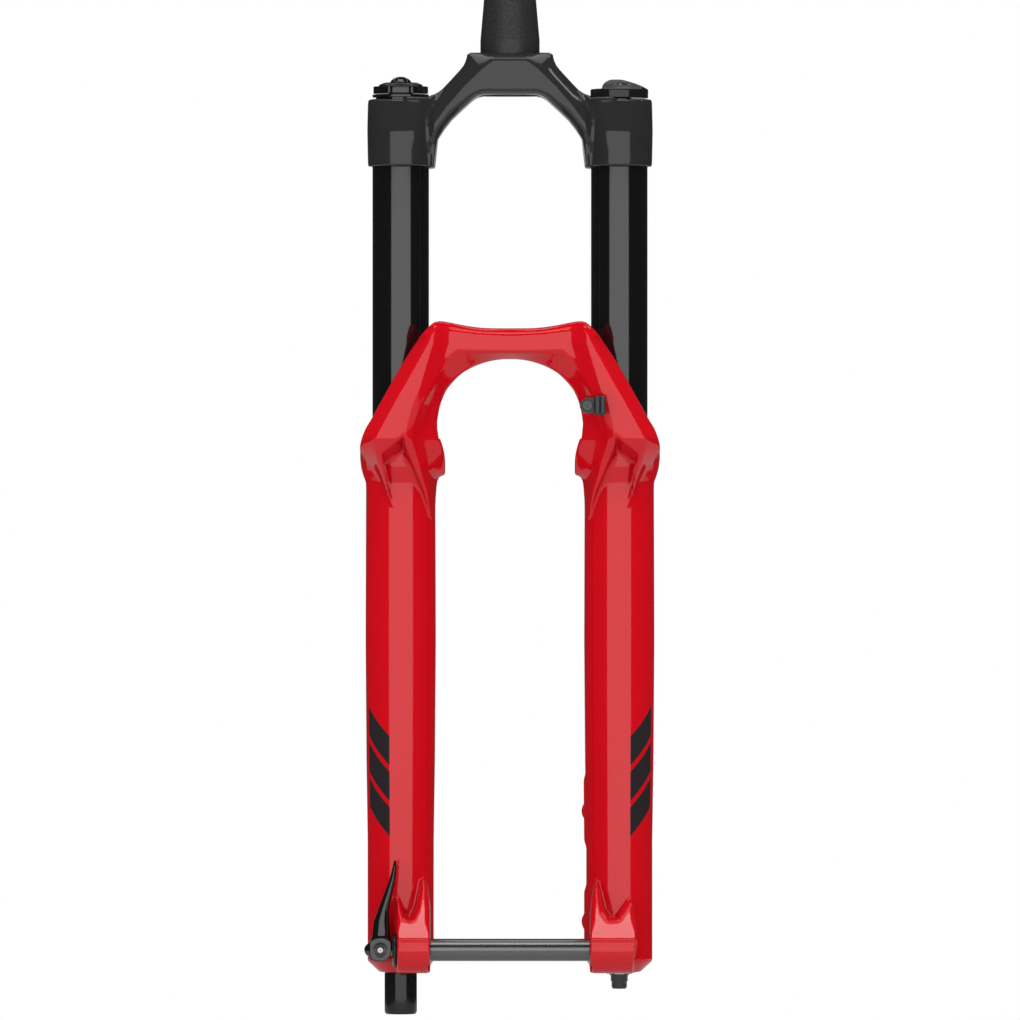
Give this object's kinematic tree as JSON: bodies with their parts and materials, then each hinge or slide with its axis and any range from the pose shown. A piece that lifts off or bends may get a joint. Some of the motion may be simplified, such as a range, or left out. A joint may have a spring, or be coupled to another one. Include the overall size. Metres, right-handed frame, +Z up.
{
  "type": "suspension fork",
  "caption": "Telescopic suspension fork for a mountain bike: crown with tapered steerer, two stanchions, one-piece arched lowers, through axle with quick-release lever.",
  "frame": {"origin": "on the steering axis at the crown race seat, the flat ring on top of the crown that the lower headset race rests on", "axes": "+Z up along the steerer, -Y towards the front of the bicycle, +X towards the disc-brake side, which holds the air spring"},
  "size_m": [0.2014, 0.0923, 0.8447],
  "materials": {
    "red_paint": "gloss red clear-coated paint",
    "black_paint": "gloss black paint",
    "black_anodised": "gloss black anodised aluminium",
    "steerer_alloy": "satin dark grey anodised aluminium with a fine grain",
    "alloy": "plain machined aluminium",
    "steel": "bright steel",
    "bronze": "dull bronze-backed bushing strip",
    "rubber": "matt black rubber",
    "foam": "oil-soaked grey foam",
    "plastic": "dark grey plastic",
    "gloss_plastic": "gloss black plastic"
  },
  "bodies": {
    "upper_unit": {"steerer_tube": "steerer_alloy", "crown": "black_paint", "damper_stanchion": "black_anodised", "air_stanchion": "black_anodised", "damper_seal_head": "alloy", "air_seal_head": "alloy", "damper_circlip": "steel", "air_circlip": "steel", "damper_top_cap": "black_anodised", "damper_cartridge_tube": "alloy", "base_valve": "alloy", "floating_piston_spring": "steel", "air_top_cap": "black_anodised", "valve_core": "steel", "volume_spacer_1": "plastic", "volume_spacer_2": "plastic"},
    "floating_piston": {"floating_piston": "plastic"},
    "compression_adjuster": {"compression_knob": "black_anodised"},
    "low_speed_adjuster": {"centre_knob": "black_anodised"},
    "valve_cover": {"air_cap": "gloss_plastic"},
    "rebound_adjuster": {"rebound_knob": "black_anodised", "rebound_needle": "steel"},
    "rebound_cap": {"rebound_cover": "gloss_plastic"},
    "axle_cup": {"axle_cam_cup": "black_paint"},
    "axle": {"axle_tube": "black_anodised", "axle_lever_pin": "steel"},
    "lever": {"axle_lever": "black_paint"},
    "lower_unit": {"lower_casting": "red_paint", "damper_dust_wiper": "rubber", "damper_wiper_garter_spring": "steel", "damper_foam_ring": "foam", "damper_upper_bushing": "bronze", "damper_lower_bushing": "bronze", "damper_crush_washer": "alloy", "air_dust_wiper": "rubber", "air_wiper_garter_spring": "steel", "air_foam_ring": "foam", "air_upper_bushing": "bronze", "air_lower_bushing": "bronze", "air_crush_washer": "alloy", "damper_rod": "steel", "rebound_piston": "alloy", "damper_foot_bolt": "black_anodised", "air_piston": "plastic", "air_piston_ring": "rubber", "air_shaft": "alloy", "top_out_bumper": "rubber", "bottom_out_bumper": "rubber", "air_foot_bolt": "black_anodised", "axle_nut": "alloy", "hose_guide": "plastic", "hose_guide_screw": "steel"}
  },
  "joints": [
    {"name": "fork_travel", "type": "slide", "parent": "upper_unit", "child": "lower_unit", "axis": [0, 0, 1], "range_m": [0, 0.18], "stiffness_N_per_m": 4000},
    {"name": "floating_piston_slide", "type": "slide", "parent": "upper_unit", "child": "floating_piston", "axis": [0, 0, 1], "range_m": [0, 0.0267], "deforming": ["floating_piston_spring"]},
    {"name": "compression_turn", "type": "hinge", "parent": "upper_unit", "child": "compression_adjuster", "pos_m": [-0.0733, -0.009, -0.025], "axis": [0, 0, 1], "range_deg": [0, 240]},
    {"name": "low_speed_turn", "type": "hinge", "parent": "upper_unit", "child": "low_speed_adjuster", "pos_m": [-0.0733, -0.009, -0.02], "axis": [0, 0, 1], "range_deg": [0, 270]},
    {"name": "valve_cover_lift", "type": "slide", "parent": "upper_unit", "child": "valve_cover", "axis": [0, 0, 1], "range_m": [0, 0.02]},
    {"name": "rebound_turn", "type": "hinge", "parent": "lower_unit", "child": "rebound_adjuster", "pos_m": [-0.0733, -0.009, -0.63], "axis": [0, 0, 1], "range_deg": [0, 330]},
    {"name": "rebound_cap_pull", "type": "slide", "parent": "lower_unit", "child": "rebound_cap", "axis": [0, 0, -1], "range_m": [0, 0.035]},
    {"name": "axle_withdraw", "type": "slide", "parent": "lower_unit", "child": "axle_cup", "axis": [-1, 0, 0], "range_m": [0, 0.165]},
    {"name": "axle_spin", "type": "hinge", "parent": "axle_cup", "child": "axle", "pos_m": [-0.0768, -0.044, -0.6004], "axis": [1, 0, 0], "range_deg": [0, 180]},
    {"name": "lever_open", "type": "hinge", "parent": "axle", "child": "lever", "pos_m": [-0.0865, -0.044, -0.6004], "axis": [0, -1, 0], "range_deg": [0, 100]}
  ],
  "couplings": [
    {"joint": "floating_piston_slide", "follows": "fork_travel", "ratio": 0.148}
  ]
}
